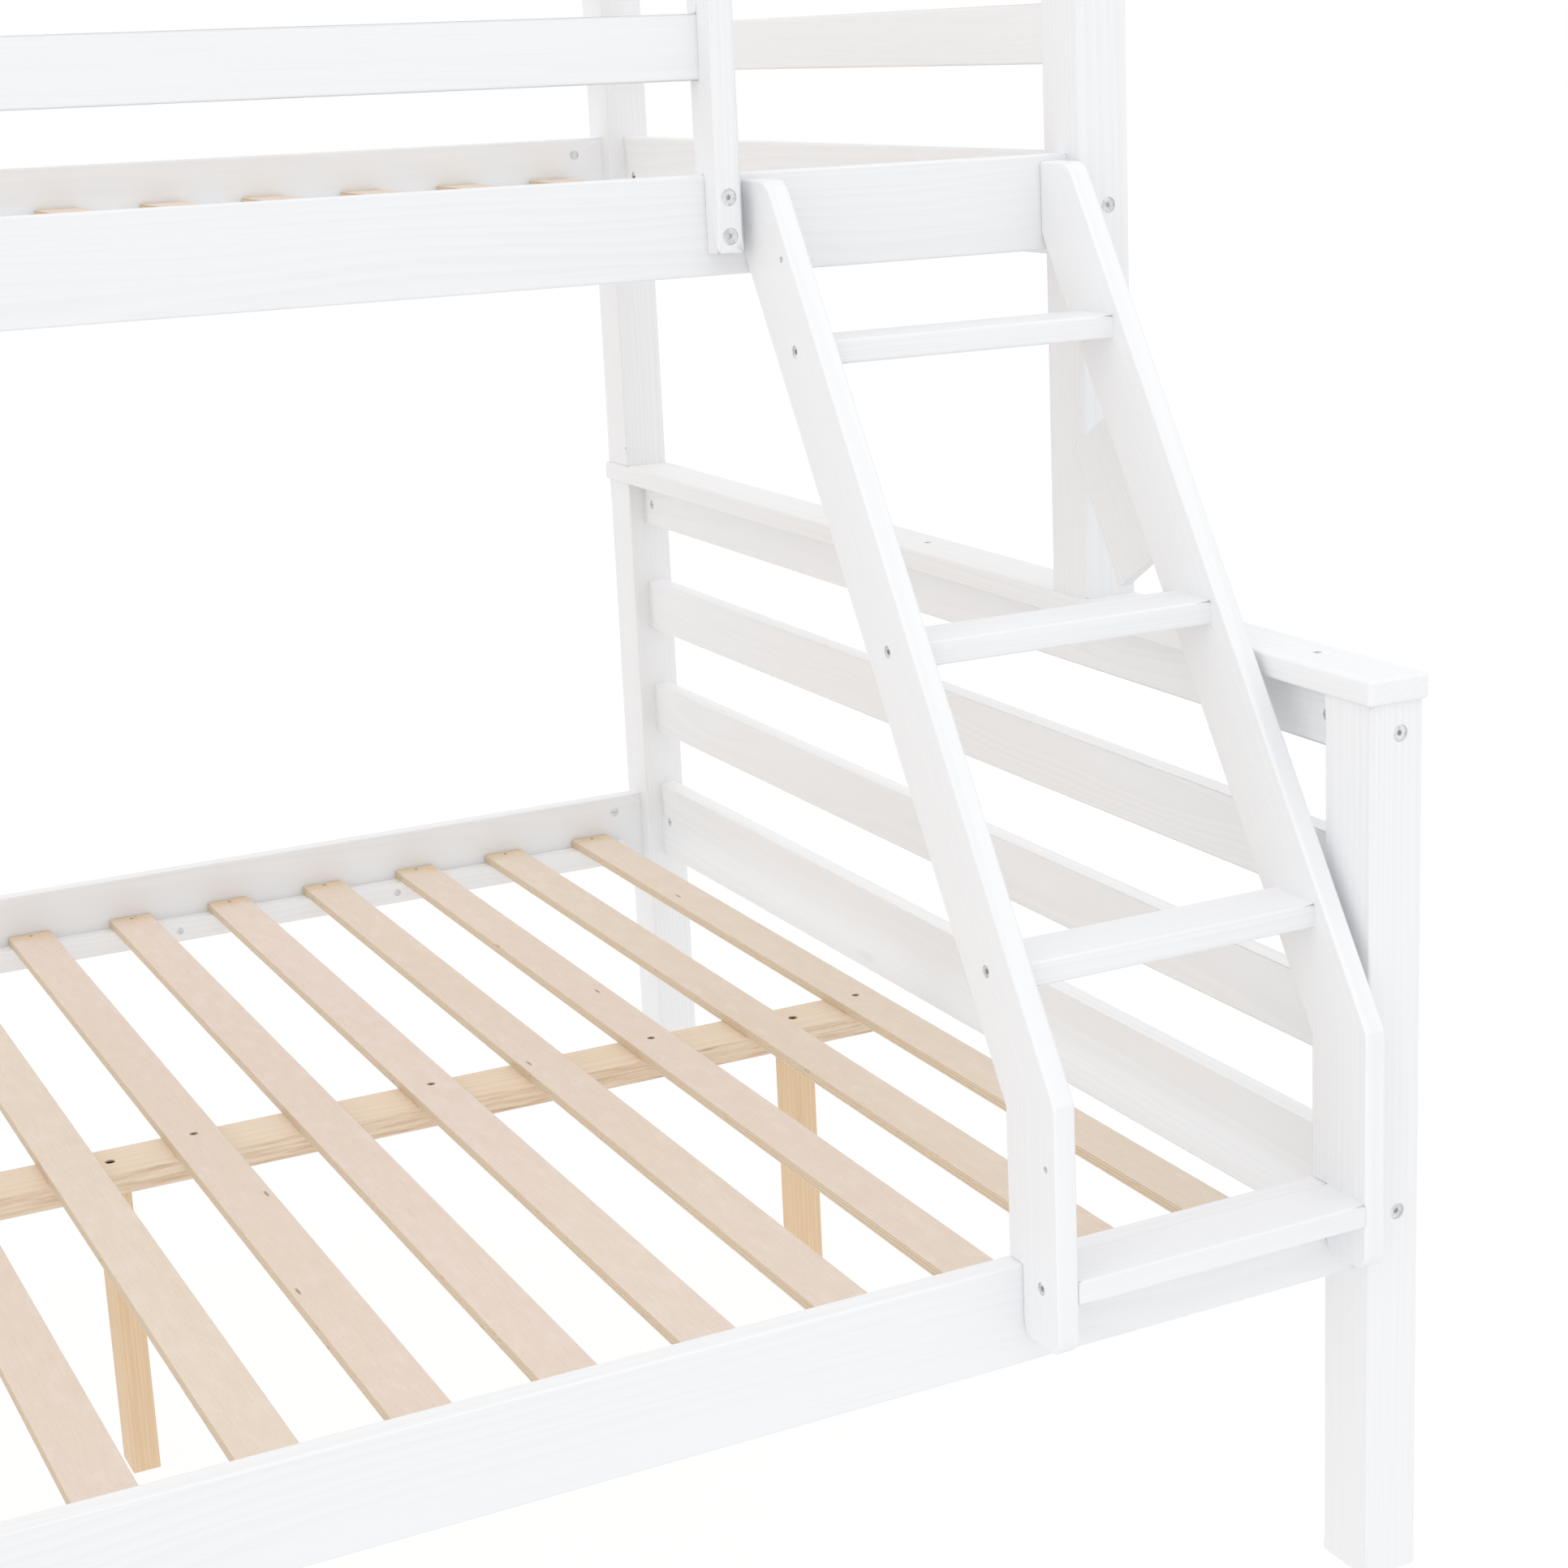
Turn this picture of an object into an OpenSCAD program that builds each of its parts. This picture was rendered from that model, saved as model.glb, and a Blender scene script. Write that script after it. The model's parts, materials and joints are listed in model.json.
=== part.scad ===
// Twin-over-full bunk bed with a bent-sided ladder.
// Millimetres. X runs along the bed with the ladder end at +X, Y runs to the back, Z is up.
// The object's bounding box is centred on X and Y, and the feet stand on Z = 0.

/* [Overall] */
// length over the outer faces of the end posts
bed_length = 1990; // [1960:10:2100]
// depth of the lower bed over the outer faces of its posts
lower_depth = 1450; // [1430:10:1500]
// depth of the upper bed over the outer faces of its posts
upper_depth = 1058; // [1040:2:1100]

/* [Posts] */
// post size along the bed
post_w = 48; // [44:1:56]
// post size across the bed
post_d = 56; // [52:1:62]
// height of the lower posts
lower_post_h = 717; // [700:1:760]
// height of the upper posts, from the cap upwards
upper_post_h = 740; // [736:1:800]

/* [Boards] */
// thickness of rails, slats of the ends and guard boards
board_t = 19; // [18:0.5:20]
// setback of a side rail behind the outer face of its posts
rail_setback = 17; // [16:0.5:18]
// setback of the end boards behind the outer face of the posts
end_setback = 10.5; // [9:0.5:12]
// height of the side rails
rail_h = 78; // [76:1:84]
// underside of the lower side rails
lower_rail_z = 261; // [255:1:265]
// underside of the upper side rails
upper_rail_z = 1034; // [1030:1:1038]
// height of the wide bottom board of each end
end_rail_h = 87; // [84:1:90]
// height of the two slats of a lower end
end_slat_h = 57; // [54:1:60]
// height of the guard boards and of the two slats of an upper end
guard_h = 50; // [46:1:54]
// height of the top rail of each end
top_rail_h = 48; // [44:1:50]
// thickness of the cap on each end
cap_t = 20; // [18:1:22]
// how far a cap reaches past the posts
cap_over = 4; // [3:1:6]
// corner radius of a cap
cap_r = 4; // [2:1:8]

/* [Deck] */
// number of slats in each deck
slat_n = 17; // [14:1:18]
// width of a deck slat
slat_w = 45; // [40:1:50]
// thickness of a deck slat
slat_t = 9.5; // [8:0.5:12]
// distance from the end posts' outer faces to the first slat
slat_end = 95; // [80:1:100]
// width of the ledger strips
ledger = 20; // [18:1:22]
// height of the ledger strips
ledger_h = 23.5; // [20:0.5:26]
// width of the centre beam
beam_w = 60; // [50:1:70]
// thickness of the centre beam
beam_t = 20; // [18:1:22]
// size of a centre leg along the bed
leg_w = 24; // [20:1:40]
// size of a centre leg across the bed
leg_d = 38; // [30:1:45]

/* [Ladder] */
// thickness of a ladder side
side_t = 18; // [16:1:20]
// width of a ladder side across its slope
side_w = 68; // [60:1:72]
// clear width between the ladder sides
step_len = 255; // [240:1:280]
// gap between the right ladder side and the end posts
ladder_gap = 10; // [9.5:0.5:14]
// how far the ladder stands in front of the lower posts
ladder_out = 33; // [28:1:36]
// depth of a step
step_d = 54; // [50:1:56]
// thickness of a step
step_t = 19; // [17:1:22]
// rise from one step to the next
step_rise = 213; // [210:1:214]

/* [Fasteners] */
// diameter of the connector bolts
bolt_d = 6; // [5:0.5:7]
// diameter of a bolt head
bolt_head_d = 13; // [11:0.5:14]
// diameter of a barrel nut
nut_d = 10; // [9:0.5:11]
// diameter of the wooden dowels in the end slats
dowel_d = 8; // [6:1:10]

/* [Hidden] */
$fn = 48;
// play round a shaft, play between two faces that only touch, and overshoot of a cut
clear = 0.3;
touch = 0.2;
eps = 0.5;

// outer faces of the lower posts at xr, yf and yb; the upper posts' front face is at yu
xr = bed_length / 2;
xin = xr - post_w;
depth_all = ladder_out + lower_depth + cap_over;
yf = ladder_out - depth_all / 2;
yb = yf + lower_depth;
yu = yb - upper_depth;
ymid = (yf + yb) / 2;
cap_z = lower_post_h;
cap_top = cap_z + cap_t;
upper_top = cap_top + upper_post_h;

// outer face, inner face and middle of the side rails: lower front, back, upper front
y_rail_f = yf + rail_setback;
y_rail_fi = y_rail_f + board_t;
y_rail_fc = y_rail_f + board_t / 2;
y_rail_b = yb - rail_setback;
y_rail_bi = y_rail_b - board_t;
y_rail_bc = y_rail_b - board_t / 2;
y_up_f = yu + rail_setback;
y_up_fi = y_up_f + board_t;
y_up_fc = y_up_f + board_t / 2;
lower_rail_top = lower_rail_z + rail_h;
upper_rail_top = upper_rail_z + rail_h;

// outer face, inner face and middle of the end boards, and the post faces that they run between
x_end_o = xr - end_setback;
x_end_i = x_end_o - board_t;
x_end_c = x_end_o - board_t / 2;
yl1 = yf + post_d;
yl2 = yb - post_d;
yu1 = yu + post_d;
// middles of the posts that stand over a pin
y_pin_f = yu + post_d / 2;
y_pin_b = yb - post_d / 2;

// undersides of the boards of a lower end, of an upper end and of the guards
lower_end_z = 266;
lower_slat1_z = 418;
lower_slat2_z = 543;
lower_top_z = cap_z - top_rail_h;
upper_end_z = upper_rail_top - end_rail_h;
guard1_z = 1184;
guard2_z = 1306;
upper_top_z = upper_top - top_rail_h;
guard1_c = guard1_z + guard_h / 2;
guard2_c = guard2_z + guard_h / 2;
guard_cs = [guard1_c, guard2_c];
lower_slat_cs = [lower_slat1_z + end_slat_h / 2, lower_slat2_z + end_slat_h / 2];

// connector bolts: depth of the pocket for the head, height of the head, its hexagon socket
head_pocket = 6;
head_h = 4.5;
socket_d = 4.6;
socket_h = 3;
// how far the bolt and its bore run past the middle of the nut
bolt_past = 7;
bore_past = 14;
// distance of a barrel nut from the end of a rail and from the end of an end board
nut_in = 35;
end_nut_in = 22;
// length of a barrel nut, its depth below the face, and its driver slot
nut_len = 14;
nut_sink = 0.8;
nut_slot_w = 1.4;
nut_slot_h = 1.2;
rail_bolt_len = post_w + nut_in + bolt_past;
end_bolt_len = post_d + end_nut_in + bolt_past;
rail_nut_drop = 18;
lower_nut_z = lower_rail_top - rail_nut_drop;
upper_nut_z = upper_rail_top - rail_nut_drop;
lower_end_bolt_zs = [lower_end_z + end_rail_h / 2, lower_top_z + top_rail_h / 2];
upper_end_bolt_zs = [upper_end_z + end_rail_h / 2, upper_top_z + top_rail_h / 2];

// wood screws: shank, head, and the depth of the countersink
screw_d = 4;
screw_head_d = 7;
sink = 3;
head_low = 0.4;
screw_slot_w = 1.2;
screw_slot_l = 4.4;
screw_slot_h = 1;
// nails at the ends of the slats: shank, head, length below the slat, and depth of the head below the face
nail_d = 1.8;
nail_head_d = 4;
nail_head_h = 1;
nail_bite = 13;
nail_low = 0.4;
// dowels of the end slats: how far one runs into each piece
dowel_in = 18;
// steel pins between the two beds: how far they reach below and above the cap
pin_d = 8;
pin_down = 20;
pin_up = 30;
hole_spare = 2;
// small peg hole low in the inner side of the upper back posts
peg_d = 3;
peg_deep = 8;
peg_up = 21;
peg_in = 3;

// ledger strips, level with a step above the underside of the rails
ledger_up = 2;
ledger_end = 30;
ledger_screws = 8;
ledger_screw_in = 64;
ledger_screw_step = 2 * (xin - ledger_screw_in) / (ledger_screws - 1);
ledger_xs = [for (i = [0 : ledger_screws - 1]) -xin + ledger_screw_in + i * ledger_screw_step];
ledger_bite = 9;
lower_ledger_top = lower_rail_z + ledger_up + ledger_h;
upper_ledger_top = upper_rail_z + ledger_up + ledger_h;

// decks
lower_deck = lower_ledger_top + slat_t;
upper_deck = upper_ledger_top + slat_t;
slat_pitch = (bed_length - 2 * slat_end - slat_w) / (slat_n - 1);
slat_xs = [for (i = [0 : slat_n - 1]) -xr + slat_end + slat_w / 2 + i * slat_pitch];
screwed_xs = [for (i = [0 : 2 : slat_n - 1]) slat_xs[i]];
slat_gap = 2;
slat_bite = 11;
beam_end = 90;
beam_z = lower_ledger_top - beam_t;
leg_out = 187;
leg_in = 850;
leg_xs = [xr - leg_out, xr - leg_in, leg_in - xr, leg_out - xr];
leg_pocket = 13;
leg_head_d = 8.6;
leg_head_h = 4;
leg_bite = 36;

// cap screws
cap_screw_in = 103;
cap_bite = 22;
lower_cap_ys = [yf + cap_screw_in, ymid];
upper_cap_ys = [yu + cap_screw_in, (yu + yb) / 2, yb - cap_screw_in];

// ladder sides: the front edge is upright up to lad_bend, then leans back by lad_slope for each unit of rise
side_r = xin - ladder_gap - side_t;
side_l = side_r - step_len - side_t;
side_xs = [side_l, side_r];
lad_f = yf - ladder_out;
lad_back_in = 1;
lad_back = y_rail_fi - lad_back_in;
lad_bottom = 284;
lad_top_down = 5;
lad_top = upper_rail_top - lad_top_down;
lad_slope = 0.632;
lad_lean = atan(1 / lad_slope);
lad_bend = 476;
lad_top_r = 18;
foot_r = 12;
// bolts from the rails into the ladder sides
lad_bolt_zs = [311, 1080];
lad_bolt_bite = 24;
lad_head_h = 4;
// peg holes in the outer face of a side, near its top and near its bend
hook_d = 5;
hook_deep = 6;
hook_top_z = 1048;
hook_top_in = 15;
hook_low_z = 426;
hook_low_in = 13;
// steps: the bottom one is just above the lower rail, and the first rise is larger by step_extra
step_gap = 1;
step_extra = 9;
step_zs = [for (k = [0 : 3]) lower_rail_top + step_gap + k * step_rise + (k > 0 ? step_extra : 0)];
step_bite = 28;
step_head_d = 9.6;
step_head_h = 4;
step_head_low = 1;
// block on the outer face of the right ladder side: its lower back corner, length, width and corner radius
plate_gap = 1;
plate_t = ladder_gap - plate_gap;
plate_y = yf + 326;
plate_z = 757;
plate_len = 131;
plate_w = 120;
plate_r = 8;
plate_screw_in = 24;
plate_bite = 8;

// guard post beside the ladder: it stands gp_out before the upper posts and reaches gp_in behind their front
gp_w = 22;
gp_gap = 10;
gp_x = side_l - gp_gap - gp_w;
gp_c = gp_x + gp_w / 2;
gp_out = 4;
gp_in = 34;
gp_up = 18;
gp_f = yu - gp_out;
gp_b = yu + gp_in;
gp_bottom = upper_rail_z + gp_up;
gp_top = guard2_z + guard_h;
gp_cheek = 4;
gp_bolt_downs = [17, 47];
gp_bolt_zs = [for (down = gp_bolt_downs) upper_rail_top - down];
gp_bite = 14;

white_paint = [0.93, 0.93, 0.92];
pine = [0.88, 0.8, 0.72];
zinc = [0.7, 0.71, 0.72];

// ---- helpers

// box between two opposite corners
module box(lo, hi) {
  translate(lo) cube(hi - lo);
}

// direction along an axis from a place towards the middle of the bed
function inward(a) = a > 0 ? -1 : 1;

// turns what is drawn along Z so that its +Z points along X or Y, forwards for s = 1 and backwards for -1
module facing_x(s, at) {
  translate(at) rotate([0, s * 90, 0]) children();
}

module facing_y(s, at) {
  translate(at) rotate([-s * 90, 0, 0]) children();
}

// round hole going down from a face at Z = 0
module hole(deep, d) {
  translate([0, 0, -deep]) cylinder(h = deep + eps, d = d + clear);
}

// hole right through for a connector bolt whose head is sunk in the face at Z = 0
module bolt_hole(through) {
  hole(through + eps, bolt_d);
  hole(head_pocket, bolt_head_d);
}

// shank down to -len, with a head of diameter d and height h on it, whose foot is at -low
module headed(len, d, h, low) {
  difference() {
    union() {
      translate([0, 0, -len]) cylinder(h = len - low + 1, d = bolt_d);
      translate([0, 0, -low]) cylinder(h = h, d = d);
    }
    translate([0, 0, h - low - socket_h]) cylinder(h = socket_h + eps, d = socket_d, $fn = 6);
  }
}

// connector bolt for a bolt_hole
module bolt(len) {
  headed(len, bolt_head_d, head_h, head_pocket);
}

// blind bore for a barrel nut, and the nut; its cross hole lies along X turned by turn about Z
module nut_hole() {
  hole(nut_sink + nut_len + clear, nut_d);
}

module barrel_nut(turn) {
  difference() {
    translate([0, 0, -nut_sink - nut_len]) cylinder(h = nut_len, d = nut_d);
    translate([0, 0, -board_t / 2]) rotate([0, 90, turn])
      cylinder(h = 2 * nut_d, d = bolt_d + clear, center = true);
    rotate([0, 0, turn]) translate([-nut_d, -nut_slot_w / 2, -nut_sink - nut_slot_h])
      cube([2 * nut_d, nut_slot_w, nut_slot_h + eps]);
  }
}

// countersunk hole and wood screw with a cross slot, going down from a face at Z = 0
module screw_hole(deep) {
  hole(deep, screw_d);
  hole(sink, screw_head_d);
}

module wood_screw(len) {
  translate([0, 0, -head_low]) difference() {
    union() {
      translate([0, 0, -len]) cylinder(h = len, d = screw_d - 2 * touch);
      translate([0, 0, head_low - sink]) cylinder(h = sink - head_low, d = screw_head_d - 2 * touch);
    }
    for (a = [0, 90])
      rotate([0, 0, a]) translate([-screw_slot_l / 2, -screw_slot_w / 2, -screw_slot_h])
        cube([screw_slot_l, screw_slot_w, screw_slot_h + eps]);
  }
}

// hole and nail, going down from a slat's top at Z = 0
module nail_hole(deep) {
  hole(deep, nail_d);
  hole(nail_head_h + nail_low, nail_head_d);
}

module nail(len) {
  translate([0, 0, -nail_low - nail_head_h]) cylinder(h = nail_head_h, d = nail_head_d);
  translate([0, 0, -len]) cylinder(h = len - nail_low - nail_head_h / 2, d = nail_d);
}

// plate with round corners of radius r
module rounded_plate(lo, hi, r) {
  box([lo[0] + r, lo[1], lo[2]], [hi[0] - r, hi[1], hi[2]]);
  box([lo[0], lo[1] + r, lo[2]], [hi[0], hi[1] - r, hi[2]]);
  for (x = [lo[0] + r, hi[0] - r])
    for (y = [lo[1] + r, hi[1] - r])
      translate([x, y, lo[2]]) cylinder(h = hi[2] - lo[2], r = r);
}

// ---- posts: sx is the end, sy is -1 for the front post and +1 for the back post

// bolt holes from the end face at the heights zs_x, and from the side face at y_out at the heights zs_y
module post_holes(sx, sy, y_out, y_rail, zs_x, zs_y) {
  for (z = zs_x)
    facing_x(sx, [sx * xr, y_rail, z]) bolt_hole(post_w);
  for (z = zs_y)
    facing_y(sy, [sx * x_end_c, y_out, z]) bolt_hole(post_d);
}

// blind holes for the end slats' dowels, in the face of a post that looks at the other post
module dowel_holes(sx, sy, y, zs) {
  for (z = zs)
    facing_y(-sy, [sx * x_end_c, y, z]) hole(dowel_in + hole_spare, dowel_d);
}

module lower_post(sx, sy) {
  x0 = sx > 0 ? xin : -xr;
  y0 = sy > 0 ? yl2 : yf;
  y_rail = sy > 0 ? y_rail_bc : y_rail_fc;
  color(white_paint) difference() {
    box([x0, y0, 0], [x0 + post_w, y0 + post_d, lower_post_h]);
    post_holes(sx, sy, sy > 0 ? yb : yf, y_rail, [lower_nut_z], lower_end_bolt_zs);
    dowel_holes(sx, sy, sy > 0 ? yl2 : yl1, lower_slat_cs);
    if (sy > 0)
      translate([sx * x_end_c, y_pin_b, cap_z]) hole(pin_down + hole_spare, pin_d);
  }
}

module upper_post(sx, sy) {
  x0 = sx > 0 ? xin : -xr;
  y0 = sy > 0 ? yl2 : yu;
  y_rail = sy > 0 ? y_rail_bc : y_up_fc;
  guarded = sy > 0 || sx < 0;
  color(white_paint) difference() {
    box([x0, y0, cap_top], [x0 + post_w, y0 + post_d, upper_top]);
    post_holes(sx, sy, sy > 0 ? yb : yu, y_rail, guarded ? concat([upper_nut_z], guard_cs) : [upper_nut_z],
      upper_end_bolt_zs);
    dowel_holes(sx, sy, sy > 0 ? yl2 : yu1, guard_cs);
    translate([sx * x_end_c, y0 + post_d / 2, cap_top]) mirror([0, 0, 1]) hole(pin_up + hole_spare, pin_d);
    if (sy > 0)
      facing_x(-sx, [sx * xin, y0 + peg_in, cap_top + peg_up]) hole(peg_deep, peg_d);
  }
}

// ---- side rails and ledgers

// bolt bore and blind nut bore at the end s of a rail or guard board whose middle is at yc
module rail_end_holes(s, yc, z) {
  facing_x(s, [s * xin, yc, z]) hole(nut_in + bore_past, bolt_d);
  facing_y(inward(yc), [s * (xin - nut_in), yc + inward(yc) * board_t / 2, z]) nut_hole();
}

// side rail or guard board between the posts of both ends
module long_board(y, z, h) {
  difference() {
    box([-xin, y, z], [xin, y + board_t, z + h]);
    for (s = [-1, 1])
      rail_end_holes(s, y + board_t / 2, z + h - (h > guard_h ? rail_nut_drop : h / 2));
  }
}

// pilot holes for the ledger's screws, in a rail's inner face at y
module ledger_pilots(y, top) {
  for (x = ledger_xs)
    facing_y(inward(y), [x, y, top - ledger_h / 2]) hole(ledger_bite + hole_spare, screw_d);
}

module lower_rail_front() {
  color(white_paint) difference() {
    long_board(y_rail_f, lower_rail_z, rail_h);
    ledger_pilots(y_rail_fi, lower_ledger_top);
    for (x = side_xs)
      facing_y(1, [x + side_t / 2, y_rail_fi, lad_bolt_zs[0]]) hole(board_t + eps, bolt_d);
  }
}

module lower_rail_rear() {
  color(white_paint) difference() {
    long_board(y_rail_bi, lower_rail_z, rail_h);
    ledger_pilots(y_rail_bi, lower_ledger_top);
  }
}

module upper_rail_front() {
  color(white_paint) difference() {
    long_board(y_up_f, upper_rail_z, rail_h);
    ledger_pilots(y_up_fi, upper_ledger_top);
    for (x = side_xs)
      facing_y(1, [x + side_t / 2, y_up_fi, lad_bolt_zs[1]]) hole(board_t + eps, bolt_d);
    for (z = gp_bolt_zs)
      facing_y(-1, [gp_c, y_up_f, z]) hole(gp_bite, bolt_d);
  }
}

module upper_rail_rear() {
  color(white_paint) difference() {
    long_board(y_rail_bi, upper_rail_z, rail_h);
    ledger_pilots(y_rail_bi, upper_ledger_top);
  }
}

// ledger strip against a rail's inner face at y, with its top at top
module ledger_strip(y, top) {
  s = inward(y);
  color(white_paint) difference() {
    translate([0, y + s * ledger / 2, top - ledger_h / 2])
      cube([2 * (xin - ledger_end), ledger, ledger_h], center = true);
    for (x = ledger_xs)
      facing_y(s, [x, y + s * ledger, top - ledger_h / 2]) screw_hole(ledger + eps);
    for (x = slat_xs)
      translate([x, y + s * ledger / 2, top]) hole(nail_bite + hole_spare, nail_d);
  }
}

module lower_ledger_front() { ledger_strip(y_rail_fi, lower_ledger_top); }
module lower_ledger_rear() { ledger_strip(y_rail_bi, lower_ledger_top); }
module upper_ledger_front() { ledger_strip(y_up_fi, upper_ledger_top); }
module upper_ledger_rear() { ledger_strip(y_rail_bi, upper_ledger_top); }

// ---- end boards, between a front post's face at y1 and a back post's face at y2

module end_board(sx, y1, y2, z, h) {
  x0 = sx > 0 ? x_end_i : -x_end_o;
  box([x0, y1, z], [x0 + board_t, y2, z + h]);
}

// bolt bore and blind nut bore at the end s of an end board
module end_bolt_holes(x, y, s, z) {
  facing_y(s, [x, y, z]) hole(end_nut_in + bore_past, bolt_d);
  facing_x(inward(x), [x + inward(x) * board_t / 2, y - s * end_nut_in, z]) nut_hole();
}

module end_board_bolted(sx, y1, y2, z, h) {
  color(white_paint) difference() {
    end_board(sx, y1, y2, z, h);
    end_bolt_holes(sx * x_end_c, y1, -1, z + h / 2);
    end_bolt_holes(sx * x_end_c, y2, 1, z + h / 2);
  }
}

module end_board_dowelled(sx, y1, y2, z, h) {
  color(white_paint) difference() {
    end_board(sx, y1, y2, z, h);
    facing_y(-1, [sx * x_end_c, y1, z + h / 2]) hole(dowel_in + hole_spare, dowel_d);
    facing_y(1, [sx * x_end_c, y2, z + h / 2]) hole(dowel_in + hole_spare, dowel_d);
  }
}

// top rails, which also take the cap's screws; the lower ones take the pins of the upper front posts
module lower_top_rail(sx) {
  difference() {
    end_board_bolted(sx, yl1, yl2, lower_top_z, top_rail_h);
    for (y = lower_cap_ys)
      translate([sx * x_end_c, y, cap_z]) hole(cap_bite + hole_spare, screw_d);
    translate([sx * x_end_c, y_pin_f, cap_z]) hole(pin_down + hole_spare, pin_d);
  }
}

module upper_top_rail(sx) {
  difference() {
    end_board_bolted(sx, yu1, yl2, upper_top_z, top_rail_h);
    for (y = upper_cap_ys)
      translate([sx * x_end_c, y, upper_top]) hole(cap_bite + hole_spare, screw_d);
  }
}

// cap on the posts of an end, from the front face y1 to the back of the bed, screwed down at ys
module cap(sx, y1, z, ys) {
  x0 = sx > 0 ? xin - cap_over : -xr - cap_over;
  difference() {
    rounded_plate([x0, y1 - cap_over, z], [x0 + post_w + 2 * cap_over, yb + cap_over, z + cap_t], cap_r);
    for (y = ys)
      translate([sx * x_end_c, y, z + cap_t]) screw_hole(cap_t + eps);
  }
}

module lower_cap(sx) {
  color(white_paint) difference() {
    cap(sx, yf, cap_z, lower_cap_ys);
    for (y = [y_pin_f, y_pin_b])
      translate([sx * x_end_c, y, cap_top]) hole(cap_t + eps, pin_d);
  }
}

module upper_cap(sx) {
  color(white_paint) cap(sx, yu, upper_top, upper_cap_ys);
}

// ---- centre support

module centre_beam() {
  color(pine) difference() {
    box([-xr + beam_end, ymid - beam_w / 2, beam_z], [xr - beam_end, ymid + beam_w / 2, lower_ledger_top]);
    for (x = leg_xs)
      translate([x, ymid, lower_ledger_top]) {
        hole(beam_t + eps, bolt_d);
        hole(leg_pocket, leg_head_d);
      }
    for (x = screwed_xs)
      translate([x, ymid, lower_ledger_top]) hole(slat_bite + hole_spare, screw_d);
  }
}

module centre_leg(i) {
  color(pine) difference() {
    box([leg_xs[i] - leg_w / 2, ymid - leg_d / 2, 0], [leg_xs[i] + leg_w / 2, ymid + leg_d / 2, beam_z]);
    translate([leg_xs[i], ymid, beam_z]) hole(leg_bite + hole_spare, bolt_d);
  }
}

// ---- slat decks

// one slat between the rails' inner faces at y1 and y2, nailed down over the middle of each ledger
module slat(x, y1, y2, top) {
  difference() {
    box([x - slat_w / 2, y1 + slat_gap, top - slat_t], [x + slat_w / 2, y2 - slat_gap, top]);
    for (y = [y1 + ledger / 2, y2 - ledger / 2])
      translate([x, y, top]) nail_hole(slat_t + eps);
  }
}

// every other lower slat is screwed to the centre beam
module lower_slats() {
  color(pine)
    for (i = [0 : slat_n - 1])
      difference() {
        slat(slat_xs[i], y_rail_fi, y_rail_bi, lower_deck);
        if (i % 2 == 0)
          translate([slat_xs[i], ymid, lower_deck]) screw_hole(slat_t + eps);
      }
}

module upper_slats() {
  color(pine)
    for (x = slat_xs)
      slat(x, y_up_fi, y_rail_bi, upper_deck);
}

// ---- guards

// front guard board: bolted to the left post, housed in the back of the guard post
module guard_front(z) {
  color(white_paint) difference() {
    box([-xin, y_up_f, z], [gp_x + gp_w - gp_cheek, y_up_fi, z + guard_h]);
    rail_end_holes(-1, y_up_fc, z + guard_h / 2);
    facing_y(1, [gp_c, y_up_fi, z + guard_h / 2]) screw_hole(board_t + eps);
  }
}

// guard post: full depth between the boards, half depth where it laps the rail and the guard boards
module guard_post() {
  lap_y = y_up_f - touch / 2;
  color(white_paint) difference() {
    box([gp_x, gp_f, gp_bottom], [gp_x + gp_w, gp_b, gp_top]);
    box([gp_x - eps, lap_y, gp_bottom - eps], [gp_x + gp_w + eps, gp_b + eps, upper_rail_top]);
    for (z = [guard1_z, guard2_z])
      box([gp_x - eps, lap_y, z - touch], [gp_x + gp_w - gp_cheek + touch, gp_b + eps, z + guard_h + touch]);
    for (z = gp_bolt_zs)
      facing_y(-1, [gp_c, gp_f, z]) bolt_hole(y_up_f - gp_f);
    for (z = guard_cs)
      facing_y(1, [gp_c, lap_y, z]) hole(gp_bite, screw_d);
  }
}

module guard_rear(z) {
  color(white_paint) long_board(y_rail_bi, z, guard_h);
}

// ---- ladder

// front and back edge of a ladder side's leaning part at height z, and the height where the back edge is at y
function lad_front_y(z) = lad_f + (z - lad_bend) * lad_slope;
function lad_back_y(z) = lad_front_y(z) + side_w / sin(lad_lean);
function lad_back_z(y) = lad_bend + (y - side_w / sin(lad_lean) - lad_f) / lad_slope;
// points of a round corner centred at c, from angle a to angle b
function arc(c, r, a, b) =
  [for (k = [0 : 4]) c + r * [cos(a + (b - a) * k / 4), sin(a + (b - a) * k / 4)]];
// middle of step k in the Y-Z plane, counted from the bottom step
function step_cz(k) = step_zs[k] - step_t / 2;
function step_cy(k) =
  k == 0 ? lad_f + step_d / 2 - 4 : (lad_front_y(step_cz(k)) + lad_back_y(step_cz(k))) / 2 + 2;

lad_rail_y = y_rail_f - touch;
lad_seat_y = y_up_f - touch;

// outline of a ladder side in the Y-Z plane, round from the front foot
lad_outline = concat(
  arc([lad_f + foot_r, lad_bottom + foot_r], foot_r, 180, 270),
  arc([lad_rail_y - foot_r, lad_bottom + foot_r], foot_r, 270, 360),
  [[lad_rail_y, lower_rail_top], [lad_back, lower_rail_top], [lad_back, lad_back_z(lad_back)]],
  [[lad_seat_y, lad_back_z(lad_seat_y)], [lad_seat_y, lad_top]],
  arc([lad_front_y(lad_top) + lad_top_r * tan(lad_lean / 2), lad_top - lad_top_r],
    lad_top_r, 90, 90 + lad_lean),
  [[lad_f, lad_bend]]
);

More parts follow.
